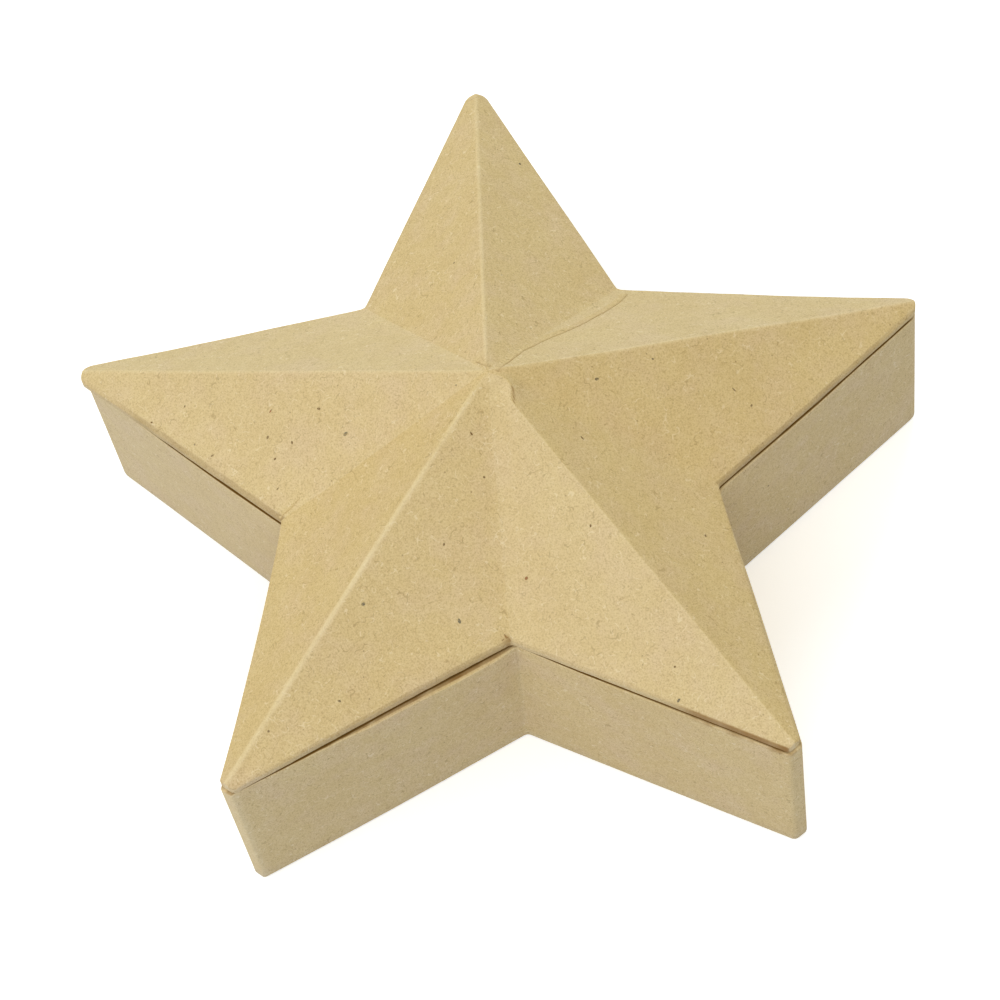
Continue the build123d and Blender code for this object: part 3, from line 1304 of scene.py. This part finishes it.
BOARD_FIBRES = [
    (3.0, 0.012, 0.52, 0.5, "#6F5F4B", 1.0),
    (2.4, 0.014, 0.50, 0.5, "#D8CBB2", 2.0),
]
BOARD_DOTS = [(5.0, 0.35, 0.5, 0.7, "#55504A", 0.1)]

# Marks on the paper, stains and wear together with painted light, shade and highlights:
# name, strength and colour, each laid over the last
KRAFT_MARKS = [
    # Painted light and shade on whole sides: paler where a side faces the light,
    # browner where it is turned away
    ("side_light_and_tone", 0.1, "#F5E8C8"),
    ("side_light_and_tone", -0.13, "#BE993E"),
    # Paper burnished pale, together with painted highlights on the lid's ridges, the
    # tray's tips and its top edge
    ("rubbed_and_highlight", 0.35, "#F0DDB2"),
    # Brown glue, and also painted shade in the peak's creases, on the tray's ledge and
    # along the laps' edges
    ("glue", 0.8, "#90662E"),
    # Dark brown of old glue, with painted shade in the gap under the lid's edge and on
    # its bent strip
    ("grime_and_shade", 1.0, "#7E5B22"),
]


def brown_kraft_paper():
    """Unbleached kraft paper, machine made from recycled pulp and uncoated."""
    # Matt and warm tan, cloudy over a few centimetres, with a fine grain,
    # short pale and dark hairs, and small brown specks left in the pulp.
    # The grain is drawn at 0.4 mm, coarser than real, so that it shows.
    material, tree, shader = new_material("brown_kraft_paper")
    coords = add(tree, "ShaderNodeTexCoord").outputs["Object"]
    base = colour("#DBC28B")
    tone = pulp(tree, coords, base, KRAFT_CLOUDS, KRAFT_FIBRES, KRAFT_DOTS)
    for name, strength, shade in KRAFT_MARKS:
        tone = marked(tree, name, strength, tone, colour(shade))
    tree.links.new(tone, shader.inputs["Base Color"])
    shader.inputs["Roughness"].default_value = 0.85
    shader.inputs["IOR"].default_value = 1.45
    shader.inputs["Specular IOR Level"].default_value = 0.25
    paper_tooth(tree, shader, coords, 0.6, 0.46, 0.1)
    return material


def grey_chipboard():
    """Grey board pressed from waste paper, cut and left bare."""
    # Dull grey brown, flecked with light and dark fibres and a little ink
    material, tree, shader = new_material("grey_chipboard")
    coords = add(tree, "ShaderNodeTexCoord").outputs["Object"]
    base = colour("#B7A488")
    tone = pulp(tree, coords, base, BOARD_CLOUDS, BOARD_FIBRES, BOARD_DOTS)
    tree.links.new(tone, shader.inputs["Base Color"])
    shader.inputs["Roughness"].default_value = 0.92
    shader.inputs["IOR"].default_value = 1.45
    shader.inputs["Specular IOR Level"].default_value = 0.2
    paper_tooth(tree, shader, coords, 1.2, 0.4, 0.15)
    return material


def pulp_fleck(name, hex_code):
    """Scrap of printed or dyed waste paper that stayed whole in the pulp."""
    # Dull and uneven, because paper fibres lie over it
    material, tree, shader = new_material(name)
    coords = add(tree, "ShaderNodeTexCoord").outputs["Object"]
    over = colour("#A89268")
    tone = patches(tree, coords, 0.5, (0.42, 0.62), 1.0, colour(hex_code), over, 0.0)
    tree.links.new(tone, shader.inputs["Base Color"])
    shader.inputs["Roughness"].default_value = 0.9
    shader.inputs["Specular IOR Level"].default_value = 0.2
    return material


FLECK_COLOURS = {
    "slate": "#6C6A5A",
    "brown": "#7A5D38",
    "rust": "#A0603C",
    "dark": "#4E4232",
    "glue": "#A17A48",
}

kraft = ("kraft_paper", brown_kraft_paper())
chipboard = ("board", grey_chipboard())

make_lid_paper(kraft)
make_lid_board(chipboard)
make_tray_paper(kraft)
make_tray_board(chipboard)
make_paper_lap("lid_paper_lap", VALLEY_LAP, 1.0, kraft)
make_paper_lap("lid_notch_lap", NOTCH_LAP, 0.5, kraft)
for kind, hex_code in FLECK_COLOURS.items():
    make_flecks(kind, pulp_fleck(kind + "_pulp_fleck", hex_code))

# The flat pieces keep their CAD shape and take the finished materials
for node, finish in (
    ("tray_floor", chipboard),
    ("lid_collar", chipboard),
    ("underside_sheet", kraft),
):
    for place in frame["nodes"][node].material_slots:
        place.material = finish[1]


# Studio: a white floor just under the box, and an even pale dome. Both are
# white where they are seen, and light the box by the other values. In metres.

FLOOR_SIZE = 6.0
FLOOR_DROP = 0.0002
DOME_STRENGTH = 0.46
DOME_TONE = (1.0, 0.995, 0.96, 1.0)
FLOOR_BOUNCE = "#99A3B6"
FLOOR_GLOW = (0.262, 0.303, 0.45, 1.0)
FLOOR_WHITE = (0.4, 0.4, 0.4, 1.0)

# Large soft lamps round the box, as heading from +X, power and colour, and how
# high over it they stand in degrees, how far off and how wide in metres
LAMPS = {
    "front_left_lamp": (210, 10.3, (1.04, 1.0, 0.90)),
    "front_lamp": (270, 10.6, (0.93, 1.0, 1.12)),
    "right_lamp": (30, 4.2, (1.16, 0.96, 0.4)),
    "back_lamp": (90, 13.0, (0.80, 1.02, 1.26)),
    "back_left_lamp": (150, 2.6, (1.12, 0.98, 0.75)),
}
LAMP_RISE = 42
LAMP_DISTANCE = 2.1
LAMP_SIZE = 1.4


def seen_directly(tree):
    """1 for light that goes to the camera, from a mirror or through glass."""
    paths = add(tree, "ShaderNodeLightPath").outputs
    settings = {0: paths["Is Glossy Ray"], 1: paths["Is Transmission Ray"]}
    mirrored = add(tree, "ShaderNodeMath", settings, operation="MAXIMUM")
    settings = {0: paths["Is Camera Ray"], 1: mirrored.outputs[0]}
    return add(tree, "ShaderNodeMath", settings, operation="MAXIMUM").outputs[0]


def make_floor():
    """White floor that keeps the box's shadow and glows a little on the walls."""
    mesh = bmesh.new()
    bmesh.ops.create_grid(mesh, x_segments=1, y_segments=1, size=FLOOR_SIZE / 2)
    data = bpy.data.meshes.new("studio_floor")
    mesh.to_mesh(data)
    mesh.free()
    floor = bpy.data.objects.new("studio_floor", data)
    floor.location.z = -FLOOR_DROP
    bpy.context.scene.collection.objects.link(floor)
    material, tree, shader = new_material("white_studio_floor")
    seen = seen_directly(tree)
    settings = {SHARE: seen, UNDER: colour(FLOOR_BOUNCE), OVER: WHITE}
    tone = add(tree, "ShaderNodeMix", settings, data_type="RGBA")
    settings = {SHARE: seen, UNDER: FLOOR_GLOW, OVER: FLOOR_WHITE}
    glow = add(tree, "ShaderNodeMix", settings, data_type="RGBA")
    tree.links.new(tone.outputs[LAID], shader.inputs["Base Color"])
    tree.links.new(glow.outputs[LAID], shader.inputs["Emission Color"])
    shader.inputs["Emission Strength"].default_value = 1.0
    shader.inputs["Roughness"].default_value = 1.0
    shader.inputs["Specular IOR Level"].default_value = 0.0
    data.materials.append(material)


def make_dome():
    """Even pale light from all round, plain white where it is seen."""
    world = bpy.data.worlds.new("white_dome")
    bpy.context.scene.world = world
    world.use_nodes = True
    tree = world.node_tree
    tree.nodes.clear()
    seen = seen_directly(tree)
    settings = {"Value": seen, "To Min": DOME_STRENGTH, "To Max": 1.0}
    strength = add(tree, "ShaderNodeMapRange", settings)
    settings = {SHARE: seen, UNDER: DOME_TONE, OVER: WHITE}
    tone = add(tree, "ShaderNodeMix", settings, data_type="RGBA")
    settings = {"Color": tone.outputs[LAID], "Strength": strength.outputs[0]}
    dome = add(tree, "ShaderNodeBackground", settings)
    output = add(tree, "ShaderNodeOutputWorld")
    tree.links.new(dome.outputs[0], output.inputs["Surface"])


def make_lamp(name, heading, power, tone):
    """Large soft lamp that looks down on the box."""
    data = bpy.data.lights.new(name, "AREA")
    data.shape = "DISK"
    data.size = LAMP_SIZE
    data.energy = power
    data.color = tone
    lamp = bpy.data.objects.new(name, data)
    rise = math.radians(LAMP_RISE)
    flat = polar(LAMP_DISTANCE * math.cos(rise), heading)
    lamp.location = (*flat, LAMP_DISTANCE * math.sin(rise))
    lamp.rotation_euler = (-lamp.location).to_track_quat("-Z", "Y").to_euler()
    bpy.context.scene.collection.objects.link(lamp)


# Camera at the photograph's angle, from a fit to the star's corners: lens and
# sensor in mm, distances in metres and angles in degrees
CAMERA_LENS = 106.9
SENSOR_WIDTH = 36
NEAREST_SEEN = 0.01
CAMERA_AIM = (0.0001, -0.0146, 0.045)
CAMERA_DISTANCE = 0.6878
CAMERA_ELEVATION = 57.62
CAMERA_AZIMUTH = 8.06
CAMERA_ROLL = -11.46


def make_camera():
    """Camera that looks down on the box, turned a little about its view."""
    data = bpy.data.cameras.new("camera")
    data.lens = CAMERA_LENS
    data.sensor_width = SENSOR_WIDTH
    data.clip_start = NEAREST_SEEN
    camera = bpy.data.objects.new("camera", data)
    bpy.context.scene.collection.objects.link(camera)
    rise = math.radians(CAMERA_ELEVATION)
    side = math.radians(CAMERA_AZIMUTH)
    back = Vector(
        (
            math.sin(side) * math.cos(rise),
            -math.cos(side) * math.cos(rise),
            math.sin(rise),
        )
    )
    camera.location = Vector(CAMERA_AIM) + back * CAMERA_DISTANCE
    camera.rotation_euler = (-back).to_track_quat("-Z", "Y").to_euler()
    camera.rotation_euler.rotate_axis("Z", math.radians(CAMERA_ROLL))
    bpy.context.scene.camera = camera


make_floor()
make_dome()
for name, (heading, power, tone) in LAMPS.items():
    make_lamp(name, heading, power, tone)
make_camera()

bpy.context.scene.view_settings.view_transform = "Standard"
